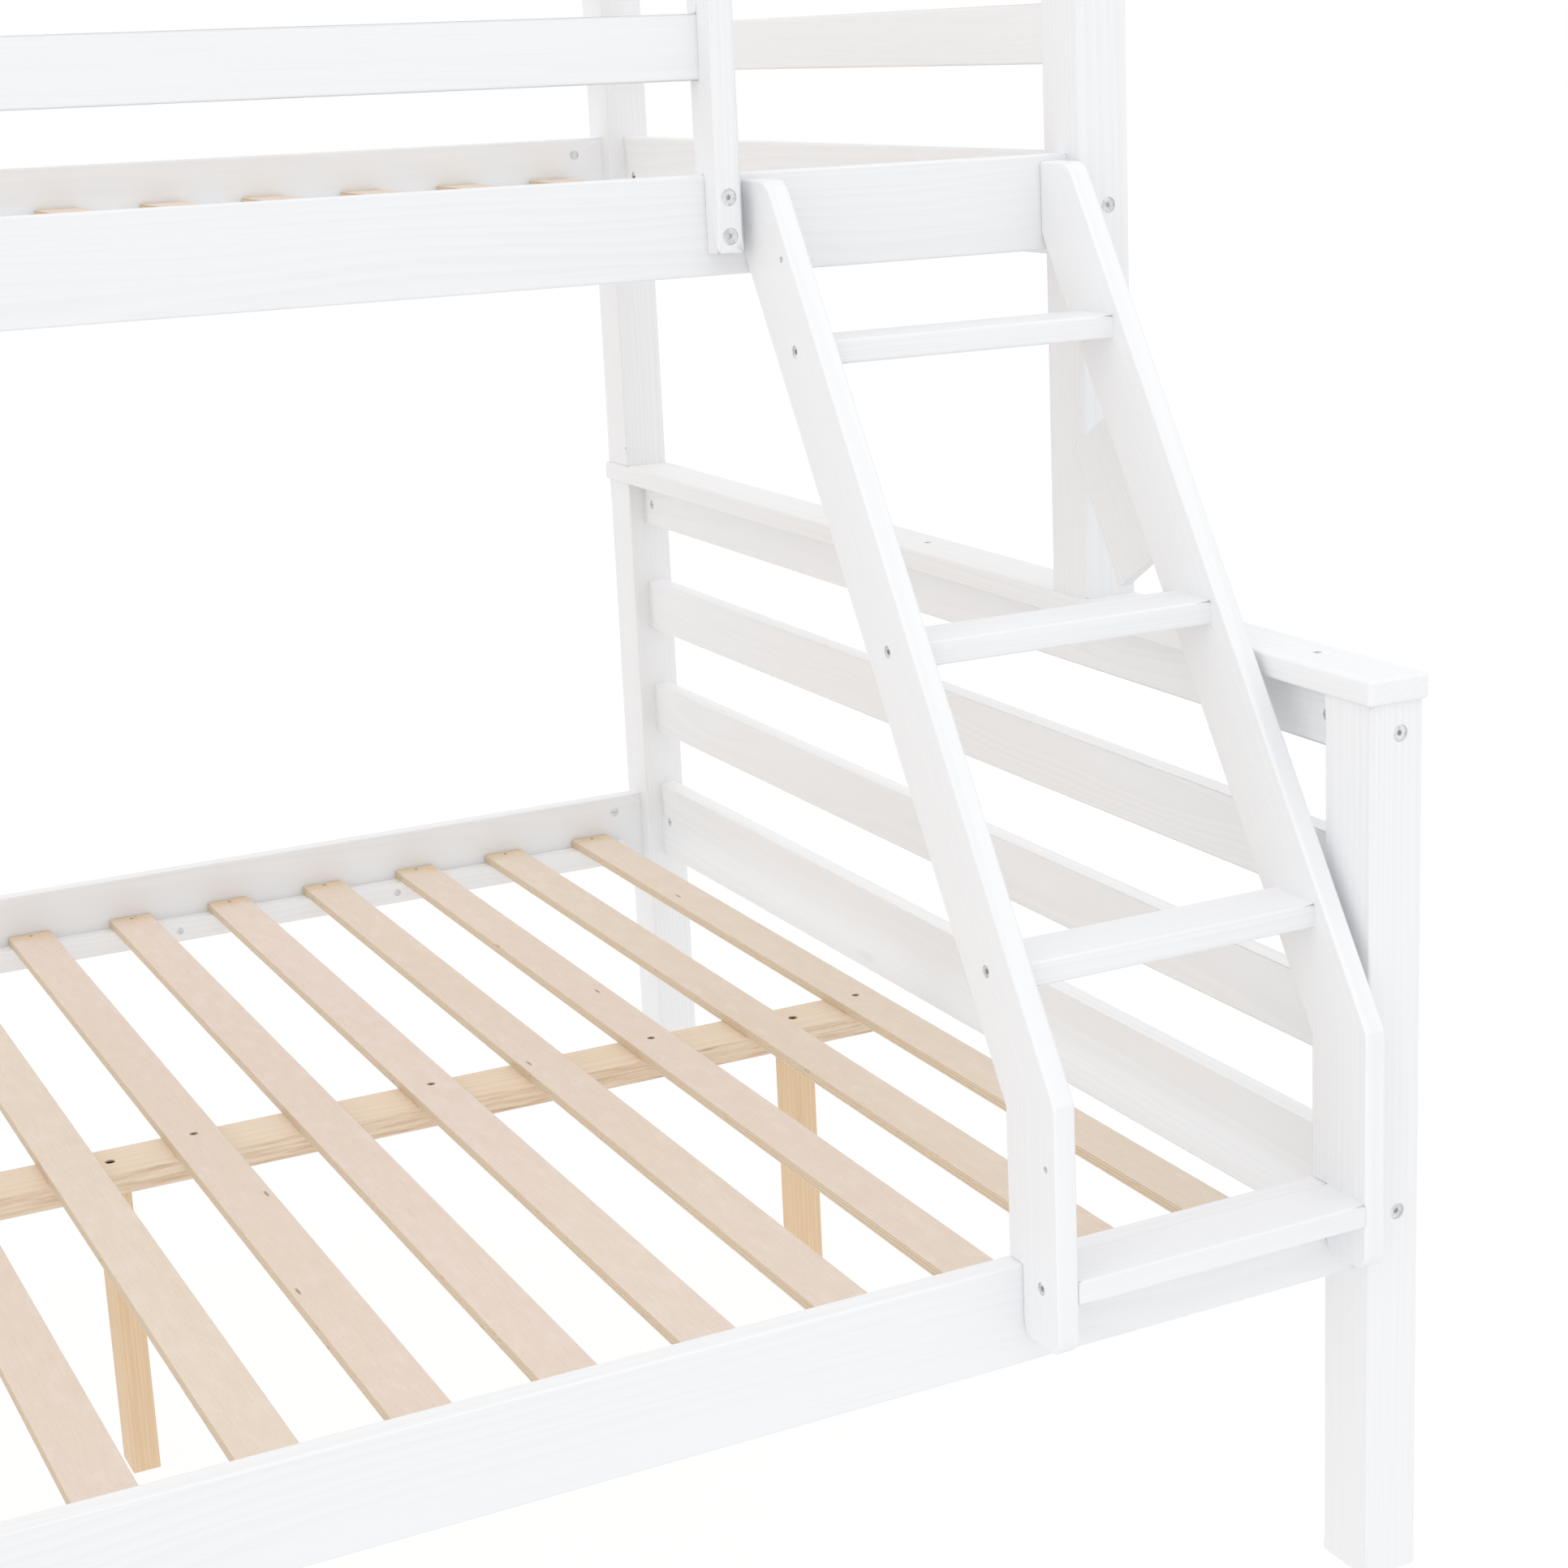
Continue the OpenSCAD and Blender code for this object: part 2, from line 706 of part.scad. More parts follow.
module ladder_side(i) {
  x0 = side_xs[i];
  // direction and place of the side's outer face
  s = i == 0 ? -1 : 1;
  x_face = i == 0 ? x0 : x0 + side_t;
  color(white_paint) difference() {
    translate([x0, 0, 0]) rotate([90, 0, 90]) linear_extrude(height = side_t) polygon(lad_outline);
    for (k = [0 : 3])
      facing_x(s, [x_face, step_cy(k), step_cz(k)]) {
        hole(side_t + eps, bolt_d);
        hole(step_head_low + step_head_h, step_head_d);
      }
    facing_y(1, [x0 + side_t / 2, lad_rail_y, lad_bolt_zs[0]]) hole(lad_bolt_bite + hole_spare, bolt_d);
    facing_y(1, [x0 + side_t / 2, lad_seat_y, lad_bolt_zs[1]]) hole(lad_bolt_bite + hole_spare, bolt_d);
    facing_x(s, [x_face, lad_front_y(hook_top_z) + hook_top_in, hook_top_z]) hole(hook_deep, hook_d);
    facing_x(s, [x_face, lad_f + hook_low_in, hook_low_z]) hole(hook_deep, hook_d);
    if (i == 1)
      plate_place() for (x = plate_screw_xs)
        translate([x, plate_w - plate_screw_in / 2, 0]) hole(plate_bite + hole_spare, screw_d);
  }
}

module ladder_step(k) {
  d = k == 0 ? y_rail_f - lad_f - eps : step_d;
  y0 = k == 0 ? lad_f : step_cy(k) - step_d / 2;
  color(white_paint) difference() {
    box([side_l + side_t, y0, step_zs[k] - step_t], [side_r, y0 + d, step_zs[k]]);
    facing_x(-1, [side_l + side_t, step_cy(k), step_cz(k)]) hole(step_bite + hole_spare, bolt_d);
    facing_x(1, [side_r, step_cy(k), step_cz(k)]) hole(step_bite + hole_spare, bolt_d);
  }
}

// places the block: its long sides follow the ladder's lean and its inner face lies on the ladder side
module plate_place() {
  translate([side_r + side_t, plate_y, plate_z]) rotate([90, 0, 90]) rotate([0, 0, lad_lean]) children();
}

plate_screw_xs = [plate_screw_in, plate_len - plate_screw_in];

module ladder_side_plate() {
  color(white_paint) plate_place() difference() {
    rounded_plate([0, 0, 0], [plate_len, plate_w, plate_t], plate_r);
    for (x = plate_screw_xs)
      translate([x, plate_w - plate_screw_in / 2, plate_t]) screw_hole(plate_t + eps);
  }
}

// ---- fasteners

module frame_bolts() {
  color(zinc)
    for (sx = [-1, 1]) {
      for (yc = [y_rail_fc, y_rail_bc])
        facing_x(sx, [sx * xr, yc, lower_nut_z]) bolt(rail_bolt_len);
      for (yc = [y_up_fc, y_rail_bc])
        facing_x(sx, [sx * xr, yc, upper_nut_z]) bolt(rail_bolt_len);
      for (z = guard_cs)
        facing_x(sx, [sx * xr, y_rail_bc, z]) bolt(rail_bolt_len);
      for (z = lower_end_bolt_zs)
        facing_y(-1, [sx * x_end_c, yf, z]) bolt(end_bolt_len);
      for (z = upper_end_bolt_zs)
        facing_y(-1, [sx * x_end_c, yu, z]) bolt(end_bolt_len);
      for (z = concat(lower_end_bolt_zs, upper_end_bolt_zs))
        facing_y(1, [sx * x_end_c, yb, z]) bolt(end_bolt_len);
    }
  color(zinc)
    for (z = guard_cs)
      facing_x(-1, [-xr, y_up_fc, z]) bolt(rail_bolt_len);
}

// barrel nut of a rail at the end s, and barrel nut of an end board at y
module rail_nut(s, yc, z) {
  facing_y(inward(yc), [s * (xin - nut_in), yc + inward(yc) * board_t / 2, z]) barrel_nut(0);
}

module end_nut(sx, y, z) {
  facing_x(-sx, [sx * x_end_i, y, z]) barrel_nut(90);
}

module barrel_nuts() {
  color(zinc)
    for (sx = [-1, 1]) {
      for (yc = [y_rail_fc, y_rail_bc])
        rail_nut(sx, yc, lower_nut_z);
      for (yc = [y_up_fc, y_rail_bc])
        rail_nut(sx, yc, upper_nut_z);
      for (z = guard_cs)
        rail_nut(sx, y_rail_bc, z);
      for (z = lower_end_bolt_zs)
        for (y = [yl1 + end_nut_in, yl2 - end_nut_in])
          end_nut(sx, y, z);
      for (z = upper_end_bolt_zs)
        for (y = [yu1 + end_nut_in, yl2 - end_nut_in])
          end_nut(sx, y, z);
    }
  color(zinc)
    for (z = guard_cs)
      rail_nut(-1, y_up_fc, z);
}

// bolts of the guard post, of the ladder and of the centre legs
module joint_bolts() {
  color(zinc) {
    for (z = gp_bolt_zs)
      facing_y(-1, [gp_c, gp_f, z]) bolt(y_up_f - gp_f + gp_bite - 1);
    for (x = side_xs) {
      facing_y(1, [x + side_t / 2, y_rail_fi, lad_bolt_zs[0]])
        headed(board_t + lad_bolt_bite, bolt_head_d, lad_head_h, 0);
      facing_y(1, [x + side_t / 2, y_up_fi, lad_bolt_zs[1]])
        headed(board_t + lad_bolt_bite, bolt_head_d, lad_head_h, 0);
    }
    for (k = [0 : 3]) {
      facing_x(-1, [side_l, step_cy(k), step_cz(k)]) step_bolt();
      facing_x(1, [side_r + side_t, step_cy(k), step_cz(k)]) step_bolt();
    }
    for (x = leg_xs)
      translate([x, ymid, lower_ledger_top]) headed(beam_t + leg_bite, leg_head_d, leg_head_h, leg_pocket);
  }
}

// bolt through a ladder side into the end of a step
module step_bolt() {
  headed(side_t + step_bite, step_head_d, step_head_h, step_head_low + step_head_h);
}

module ledger_screw_row(y, top) {
  for (x = ledger_xs)
    facing_y(inward(y), [x, y + inward(y) * ledger, top - ledger_h / 2]) wood_screw(ledger + ledger_bite);
}

module slat_nails(y1, y2, top) {
  for (x = slat_xs)
    for (y = [y1 + ledger / 2, y2 - ledger / 2])
      translate([x, y, top]) nail(slat_t + nail_bite);
}

// nails of the slats' ends, and screws of the ledgers, slats, caps, guard boards and the ladder's block
module screws_and_nails() {
  color(zinc) {
    slat_nails(y_rail_fi, y_rail_bi, lower_deck);
    slat_nails(y_up_fi, y_rail_bi, upper_deck);
    for (y = [y_rail_fi, y_rail_bi])
      ledger_screw_row(y, lower_ledger_top);
    for (y = [y_up_fi, y_rail_bi])
      ledger_screw_row(y, upper_ledger_top);
    for (x = screwed_xs)
      translate([x, ymid, lower_deck]) wood_screw(slat_t + slat_bite);
    for (sx = [-1, 1]) {
      for (y = lower_cap_ys)
        translate([sx * x_end_c, y, cap_top]) wood_screw(cap_t + cap_bite);
      for (y = upper_cap_ys)
        translate([sx * x_end_c, y, upper_top + cap_t]) wood_screw(cap_t + cap_bite);
    }
    for (z = guard_cs)
      facing_y(1, [gp_c, y_up_fi, z]) wood_screw(board_t + gp_bite - 2);
    for (x = plate_screw_xs)
      plate_place() translate([x, plate_w - plate_screw_in / 2, plate_t]) wood_screw(plate_t + plate_bite);
  }
}

// steel pins that the upper posts stand on, and dowels of the end slats
module pins_and_dowels() {
  color(zinc)
    for (sx = [-1, 1])
      for (y = [y_pin_f, y_pin_b])
        translate([sx * x_end_c, y, cap_z - pin_down]) cylinder(h = pin_down + cap_t + pin_up, d = pin_d);
  color(pine)
    for (sx = [-1, 1]) {
      for (z = lower_slat_cs)
        for (y = [yl1, yl2])
          facing_y(1, [sx * x_end_c, y - dowel_in, z]) cylinder(h = 2 * dowel_in, d = dowel_d);
      for (z = guard_cs)
        for (y = [yu1, yl2])
          facing_y(1, [sx * x_end_c, y - dowel_in, z]) cylinder(h = 2 * dowel_in, d = dowel_d);
    }
}

module lower_post_front_right() { lower_post(1, -1); }
module lower_post_rear_right() { lower_post(1, 1); }
module lower_post_front_left() { lower_post(-1, -1); }
module lower_post_rear_left() { lower_post(-1, 1); }
module lower_end_rail_right() { end_board_bolted(1, yl1, yl2, lower_end_z, end_rail_h); }
module lower_end_slat1_right() { end_board_dowelled(1, yl1, yl2, lower_slat1_z, end_slat_h); }
module lower_end_slat2_right() { end_board_dowelled(1, yl1, yl2, lower_slat2_z, end_slat_h); }
module lower_top_rail_right() { lower_top_rail(1); }
module lower_cap_right() { lower_cap(1); }
module lower_end_rail_left() { end_board_bolted(-1, yl1, yl2, lower_end_z, end_rail_h); }
module lower_end_slat1_left() { end_board_dowelled(-1, yl1, yl2, lower_slat1_z, end_slat_h); }
module lower_end_slat2_left() { end_board_dowelled(-1, yl1, yl2, lower_slat2_z, end_slat_h); }
module lower_top_rail_left() { lower_top_rail(-1); }
module lower_cap_left() { lower_cap(-1); }
module centre_leg1() { centre_leg(0); }
module centre_leg2() { centre_leg(1); }
module centre_leg3() { centre_leg(2); }
module centre_leg4() { centre_leg(3); }
module upper_post_front_right() { upper_post(1, -1); }
module upper_post_rear_right() { upper_post(1, 1); }
module upper_post_front_left() { upper_post(-1, -1); }
module upper_post_rear_left() { upper_post(-1, 1); }
module upper_end_rail_right() { end_board_bolted(1, yu1, yl2, upper_end_z, end_rail_h); }
module upper_end_slat1_right() { end_board_dowelled(1, yu1, yl2, guard1_z, guard_h); }
module upper_end_slat2_right() { end_board_dowelled(1, yu1, yl2, guard2_z, guard_h); }
module upper_top_rail_right() { upper_top_rail(1); }
module upper_cap_right() { upper_cap(1); }
module upper_end_rail_left() { end_board_bolted(-1, yu1, yl2, upper_end_z, end_rail_h); }
module upper_end_slat1_left() { end_board_dowelled(-1, yu1, yl2, guard1_z, guard_h); }
module upper_end_slat2_left() { end_board_dowelled(-1, yu1, yl2, guard2_z, guard_h); }
module upper_top_rail_left() { upper_top_rail(-1); }
module upper_cap_left() { upper_cap(-1); }
module guard_front_low() { guard_front(guard1_z); }
module guard_front_high() { guard_front(guard2_z); }
module guard_rear_low() { guard_rear(guard1_z); }
module guard_rear_high() { guard_rear(guard2_z); }
module ladder_side_left() { ladder_side(0); }
module ladder_side_right() { ladder_side(1); }
module ladder_step1() { ladder_step(0); }
module ladder_step2() { ladder_step(1); }
module ladder_step3() { ladder_step(2); }
module ladder_step4() { ladder_step(3); }

lower_post_front_right();
lower_post_rear_right();
lower_post_front_left();
lower_post_rear_left();
lower_rail_front();
lower_rail_rear();
lower_ledger_front();
lower_ledger_rear();
lower_end_rail_right();
lower_end_slat1_right();
lower_end_slat2_right();
lower_top_rail_right();
lower_cap_right();
lower_end_rail_left();
lower_end_slat1_left();
lower_end_slat2_left();
lower_top_rail_left();
lower_cap_left();
centre_beam();
centre_leg1();
centre_leg2();
centre_leg3();
centre_leg4();
lower_slats();
upper_post_front_right();
upper_post_rear_right();
upper_post_front_left();
upper_post_rear_left();
upper_rail_front();
upper_rail_rear();
upper_ledger_front();
upper_ledger_rear();
upper_end_rail_right();
upper_end_slat1_right();
upper_end_slat2_right();
upper_top_rail_right();
upper_cap_right();
upper_end_rail_left();
upper_end_slat1_left();
upper_end_slat2_left();
upper_top_rail_left();
upper_cap_left();
upper_slats();
guard_front_low();
guard_front_high();
guard_rear_low();
guard_rear_high();
guard_post();
ladder_side_left();
ladder_side_right();
ladder_step1();
ladder_step2();
ladder_step3();
ladder_step4();
ladder_side_plate();
frame_bolts();
barrel_nuts();
joint_bolts();
screws_and_nails();
pins_and_dowels();
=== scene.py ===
"""The bunk bed's looks, light and camera. Metres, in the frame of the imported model."""
import json
import math
import random

import bpy
from mathutils import Matrix, Vector


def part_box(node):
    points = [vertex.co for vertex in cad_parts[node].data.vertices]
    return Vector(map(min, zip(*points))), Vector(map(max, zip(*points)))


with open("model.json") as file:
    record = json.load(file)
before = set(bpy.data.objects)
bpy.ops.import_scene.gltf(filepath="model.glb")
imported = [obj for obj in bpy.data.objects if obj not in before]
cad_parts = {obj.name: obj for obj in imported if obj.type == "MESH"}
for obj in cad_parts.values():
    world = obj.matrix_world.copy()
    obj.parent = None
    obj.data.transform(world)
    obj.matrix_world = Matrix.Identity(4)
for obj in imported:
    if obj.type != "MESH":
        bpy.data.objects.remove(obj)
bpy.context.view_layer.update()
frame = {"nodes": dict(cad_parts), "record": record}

# ---- sizes

GRAIN_X, GRAIN_Y, GRAIN_Z = Vector((1, 0, 0)), Vector((0, 1, 0)), Vector((0, 0, 1))

# rounding of square edges, by material; a cap's own rounding stays within CAP_RIM of its sides
EDGE_RADIUS = {"white_paint": 0.0022, "slat_wood": 0.0009, "beam_wood": 0.0012}
CAP_RADIUS = 0.003
CAP_RIM = 0.0065
ROUNDING_STEPS = 3
# edges shorter than this belong to holes; the round corners of a ladder side have shorter ones
SHORTEST_EDGE = 0.014
SHORTEST_LADDER_EDGE = 0.0033
# faces that meet at less than this angle are one curved face
SQUARE_FROM = math.radians(40)
# how closely an edge has to follow the grain, as a cosine
ALONG_GRAIN, ANY_WAY = 0.9, 0.0
# points nearer to each other than this are one
SAME_POINT = 1e-5

# a ladder side is upright up to its bend, then leans back this far for each metre of rise
LADDER_LEAN, LADDER_BEND = 0.632, 0.476
SLAT_WIDTH = 0.045
SLAT_COUNT = 17
# what lies deeper than this in the beam is the inside of a bore, which is painted dark as shade
BORE_MARGIN = 0.0015

FIRST_SEED = 100


def srgb(red, green, blue):
    """A screen colour, 0 to 255, as the linear colour that a shader takes."""
    def linear(c):
        c /= 255
        return c / 12.92 if c <= 0.04045 else ((c + 0.055) / 1.055) ** 2.4
    return (linear(red), linear(green), linear(blue), 1.0)


# ---- colours

# white paint: over early wood, late wood, slow patches and knots
PAINT, PAINT_LATE = srgb(236, 237, 239), srgb(227, 228, 230)
PAINT_SLOW, PAINT_KNOT = srgb(233, 234, 235), srgb(222, 222, 221)

# slats: tops, ends and edges
SLAT_PINK, SLAT_CREAM, SLAT_TAN = srgb(225, 209, 198), srgb(226, 213, 198), srgb(219, 201, 182)
SLAT_PALE, SLAT_FIBRE, SLAT_PORE = srgb(232, 223, 214), srgb(212, 195, 178), srgb(170, 144, 118)
SLAT_KNOT, SLAT_END = srgb(136, 104, 74), srgb(218, 192, 155)
EDGE_PLAIN, EDGE_PLY, EDGE_CHIP = srgb(216, 198, 174), srgb(200, 179, 151), srgb(145, 117, 88)

# bare wood: light and dark wood of the centre beam, of its legs and of the dowels
BEAM_LIGHT, BEAM_DARK = srgb(229, 212, 192), srgb(216, 193, 163)
LEG_LIGHT, LEG_DARK = srgb(228, 202, 168), srgb(203, 170, 132)
DOWEL_LIGHT, DOWEL_DARK = srgb(222, 190, 150), srgb(196, 158, 114)
PINE_SLOW, PINE_KNOT = srgb(224, 198, 166), srgb(150, 104, 66)
# the last of these is painted shade: the dark inside of the beam's bores
PINE_SAWN, PINE_SPLIT, PINE_BORE_SHADE = srgb(196, 166, 136), srgb(120, 88, 62), srgb(72, 52, 34)

# plated steel: light; a darker brownish grey in the slats, and nearly black with painted shade in the beam's
# bores
ZINC_LIGHT, ZINC_DARK = srgb(228, 229, 230), srgb(204, 206, 209)
DECK_STEEL, BEAM_STEEL_SHADE = srgb(150, 136, 120), srgb(70, 58, 46)

# ---- patterns of the wood

# how boards were sawn: direction of the pith (share of a half turn) and its distance, ring width,
# waviness and share of knotty cells; "show" is how far late wood shows through paint
FLAT_CUT = {"angle": (0.3, 0.7), "pith": (0.03, 0.08), "ring": 0.0058, "sway": 0.035,
            "knots": 0.16, "show": 0.45}
STRAIGHT_CUT = {"angle": (0.1, 0.9), "pith": (0.12, 0.22), "ring": 0.0042, "sway": 0.014,
                "knots": 0.05, "show": 0.6}
BEAM_CUT = {"angle": (0.3, 0.7), "pith": (0.05, 0.12), "ring": 0.0045, "sway": 0.02, "knots": 0.15}
LEG_CUT = {"angle": (0.1, 0.9), "pith": (0.15, 0.25), "ring": 0.0035, "sway": 0.008, "knots": 0.03}
DOWEL_CUT = {"angle": (0.3, 0.7), "pith": (0.2, 0.3), "ring": 0.002, "sway": 0.004, "knots": 0.0}

# how fast a pattern changes for each metre along the grain, across the board and through it
SLOW_RATE = (1.3, 7.0)
SWAY_RATE = (1.7, 8.0, 8.0)
KNOT_RATE = (2.1, 9.0)
FIBRE_RATE = (9.0, 620.0, 620.0)
STREAK_RATE = (14.0, 300.0, 300.0)
SPLIT_RATE = (9.0, 260.0, 260.0)
YEARS_RATE = 110.0
# farthest that a board's patterns are moved, so that no two boards are alike
PATTERN_SHIFT = 50
# a knot's soft rim, how far around it the rings bend and by how much
KNOT_RIM, KNOT_REACH, KNOT_BEND = (0.06, 0.02), (0.2, 0.0), 0.008
# good and bad years shift the rings by this many ring widths
YEARS_SHIFT = 2.2
# late wood darkens slowly through a ring's year, ends sharply, and fades in slow patches
LATE_RISE, LATE_FALL, LATE_PATCHES = (0.2, 0.85), (1.0, 0.88), (0.32, 0.68, 0.15, 1.0)

# the same for slats: across the slat, along it, and through it or from slat to slat
SLAT_BROAD_RATE = (14.0, 2.4, 1.0)
SLAT_MOTTLE_RATE = (70.0, 28.0, 1.0)
SLAT_FIBRE_RATE = (700.0, 30.0, 700.0)
SLAT_PORE_RATE = (1300.0, 150.0, 1.0)
SLAT_SPOT_RATE = (30.0, 6.0)
SLAT_CHIP_RATE = (30.0, 70.0, 420.0)
# each slat takes its pattern from this much farther along the veneer
SLAT_SHIFT = 7.31
# a slat's knots: their soft rim and their share of the cells
SPOT_RIM, SPOT_SHARE = (0.055, 0.02), 0.1
# the tan starts inside a slat's end, is full just outside it, and wanders with the mottling
TAN_INSIDE, TAN_OUTSIDE, TAN_WANDER = 0.02, 0.012, 0.03
# plies on a slat's edge: thickness, waviness, and the dark part of each
PLY_THICKNESS, PLY_WAVE, PLY_START, PLY_END = 0.0031, 0.0016, (0.30, 0.5), (0.95, 0.75)

# tints: the pattern, where in it a tint begins and is full, how strong it is, and its colour
PAINT_TINTS = (
    ("fibre", (0.5, 0.8), 0.4, PAINT_LATE),
    ("slow", (0.35, 0.75), 0.4, PAINT_SLOW),
)
SLAT_TINTS = (
    ("mottle", (0.42, 0.72), 0.3, SLAT_TAN),
    ("mottle", (0.5, 0.25), 0.35, SLAT_PALE),
    ("fibre", (0.45, 0.75), 0.35, SLAT_FIBRE),
    ("pores", (0.69, 0.75), 0.4, SLAT_PORE),
)
EDGE_TINTS = (
    ("chips", (0.5, 0.7), 0.6, EDGE_PLY),
    ("chips", (0.68, 0.75), 0.9, EDGE_CHIP),
)

# how strongly a shader reflects straight on
WOOD_SPECULAR, FLOOR_SPECULAR = 0.3, 0.0

# ---- light and camera

# the white studio floor gives off most of its own light, which leaves only faint shadows on it
FLOOR_HALF = 14.0
FLOOR_GLOW = 0.9
FLOOR_LIGHT, FLOOR_DARK = (0.12, 0.12, 0.12, 1), (0.10, 0.10, 0.10, 1)
# fill lights: the way they shine, their strength and their breadth in degrees
LIGHTS = {
    "above": ((0.1, 0.3, -1.0), 0.40, 60),
    "side": ((0.9, 0.15, -0.25), 0.42, 80),
    "front": ((0.2, 0.9, -0.3), 0.08, 80),
}
WHITE = (1.0, 1.0, 1.0, 1.0)

# camera: where it stands, which way it looks and its lens
CAMERA_AT = (-0.3143, -2.3405, 1.2113)
CAMERA_YAW, CAMERA_PITCH, CAMERA_ROLL = 27.539, 13.765, -2.150
CAMERA_LENS = 64.8
CAMERA_SHIFT = (-0.06, -0.035)
CAMERA_SENSOR = 36
CAMERA_CLIP = (0.05, 60)


# ---- node trees

class Tree:
    """Short calls for building a node tree."""

    def __init__(self, tree):
        self.tree = tree

    def add(self, kind, *values, **settings):
        """Adds a node, sets its options and feeds its inputs in order, with numbers or outputs."""
        node = self.tree.nodes.new(kind)
        for key, value in settings.items():
            setattr(node, key, value)
        for socket, value in zip(node.inputs, values):
            self.feed(socket, value)
        return node

    def feed(self, socket, value):
        if isinstance(value, bpy.types.NodeSocket):
            self.tree.links.new(value, socket)
        else:
            socket.default_value = value

    def math(self, operation, *values):
        return self.add("ShaderNodeMath", *values, operation=operation).outputs[0]

    def vector(self, operation, *values):
        node = self.add("ShaderNodeVectorMath", *values, operation=operation)
        return node.outputs["Value" if operation in ("DOT_PRODUCT", "DISTANCE") else "Vector"]

    def parts(self, vector):
        return self.add("ShaderNodeSeparateXYZ", vector).outputs

    def compare(self, operation, a, b):
        return self.add("FunctionNodeCompare", a, b, operation=operation).outputs[0]

    def logic(self, operation, a, b):
        return self.add("FunctionNodeBooleanMath", a, b, operation=operation).outputs[0]


class Graph(Tree):
    """The node tree of a new material."""

    def __init__(self, name):
        self.material = bpy.data.materials.new(name)
        self.material.use_nodes = True
        super().__init__(self.material.node_tree)
        self.shader = self.tree.nodes["Principled BSDF"]

    def times(self, value, factor):
        return self.math("MULTIPLY", value, factor)

    def join(self, x, y, z):
        return self.add("ShaderNodeCombineXYZ", x, y, z).outputs[0]

    def spread(self, parts, rates):
        """A point whose coordinates are each multiplied by a rate."""
        return self.join(*(self.times(part, rate) for part, rate in zip(parts, rates)))

    def place(self):
        return self.add("ShaderNodeTexCoord").outputs["Object"]

    def facing(self, axis):
        """How squarely a face looks along an axis, 0 to 1."""
        return self.math("ABSOLUTE", self.parts(self.add("ShaderNodeNewGeometry").outputs["Normal"])[axis])

    def noise(self, vector, detail=2.0, roughness=0.5, scale=1.0):
        node = self.add("ShaderNodeTexNoise")
        self.feed(node.inputs["Vector"], vector)
        self.feed(node.inputs["Scale"], scale)
        self.feed(node.inputs["Detail"], detail)
        self.feed(node.inputs["Roughness"], roughness)
        return node.outputs["Fac"]

    def cells(self, x, y, share, rim):
        """Cells in a plane: the distance from a cell's heart, 1 in the chosen cells, and their hearts."""
        node = self.add("ShaderNodeTexVoronoi", voronoi_dimensions="2D")
        self.feed(node.inputs["Vector"], self.join(x, y, 0.0))
        self.feed(node.inputs["Scale"], 1.0)
        # the red of a cell's colour is a random number of its own
        chance = self.vector("DOT_PRODUCT", node.outputs["Color"], (1.0, 0.0, 0.0))
        chosen = self.math("LESS_THAN", chance, share)
        distance = node.outputs["Distance"]
        return distance, chosen, self.times(self.span(distance, *rim), chosen)

    def span(self, value, low, high, to_low=0.0, to_high=1.0):
        """Runs smoothly from to_low to to_high while the value runs from low to high."""
        node = self.add("ShaderNodeMapRange", interpolation_type="SMOOTHSTEP")
        for socket, number in zip(node.inputs, (value, low, high, to_low, to_high)):
            self.feed(socket, number)
        return node.outputs[0]

    def mix(self, factor, a, b):
        node = self.add("ShaderNodeMix", data_type="RGBA")
        self.feed(node.inputs[0], factor)
        self.feed(node.inputs[6], a)
        self.feed(node.inputs[7], b)
        return node.outputs[2]

    def tint(self, colour, mask, strength, other):
        return self.mix(self.times(mask, strength), colour, other)

    def tints(self, colour, patterns, rows):
        for name, band, strength, other in rows:
            colour = self.tint(colour, self.span(patterns[name], *band), strength, other)
        return colour

    def bump(self, height, distance, strength):
        node = self.add("ShaderNodeBump")
        self.feed(node.inputs["Strength"], strength)
        self.feed(node.inputs["Distance"], distance)
        self.feed(node.inputs["Height"], height)
        self.feed(self.shader.inputs["Normal"], node.outputs[0])

    def finish(self, colour, roughness):
        self.feed(self.shader.inputs["Base Color"], colour)
        self.feed(self.shader.inputs["Roughness"], roughness)
        return self.material


# ---- coordinates

def inside_box(g, low, high, margin=0.0):
    """1 where a point lies between a box's faces in Y and in Z, else 0."""
    parts = g.parts(g.place())
    inside = 1.0
    for axis in (1, 2):
        inside = g.times(inside, g.math("GREATER_THAN", parts[axis], low[axis] + margin))
        inside = g.times(inside, g.math("LESS_THAN", parts[axis], high[axis] - margin))
    return inside


def board_space(g, centre, along, across):
    """The board's own coordinates: along its grain, across its wide face and through its thickness."""
    place = g.vector("SUBTRACT", g.place(), tuple(centre))
    return [g.vector("DOT_PRODUCT", place, tuple(axis)) for axis in (along, across, along.cross(across))]


def leaning_space(g, centre):
    """A ladder side's own coordinates: upright up to its bend, then leaning back with it."""
    x, y, z = g.parts(g.vector("SUBTRACT", g.place(), tuple(centre)))
    rise = g.math("MAXIMUM", g.math("SUBTRACT", z, LADDER_BEND - centre.z), 0.0)
    return [z, g.math("SUBTRACT", y, g.times(rise, LADDER_LEAN)), x]


# ---- materials

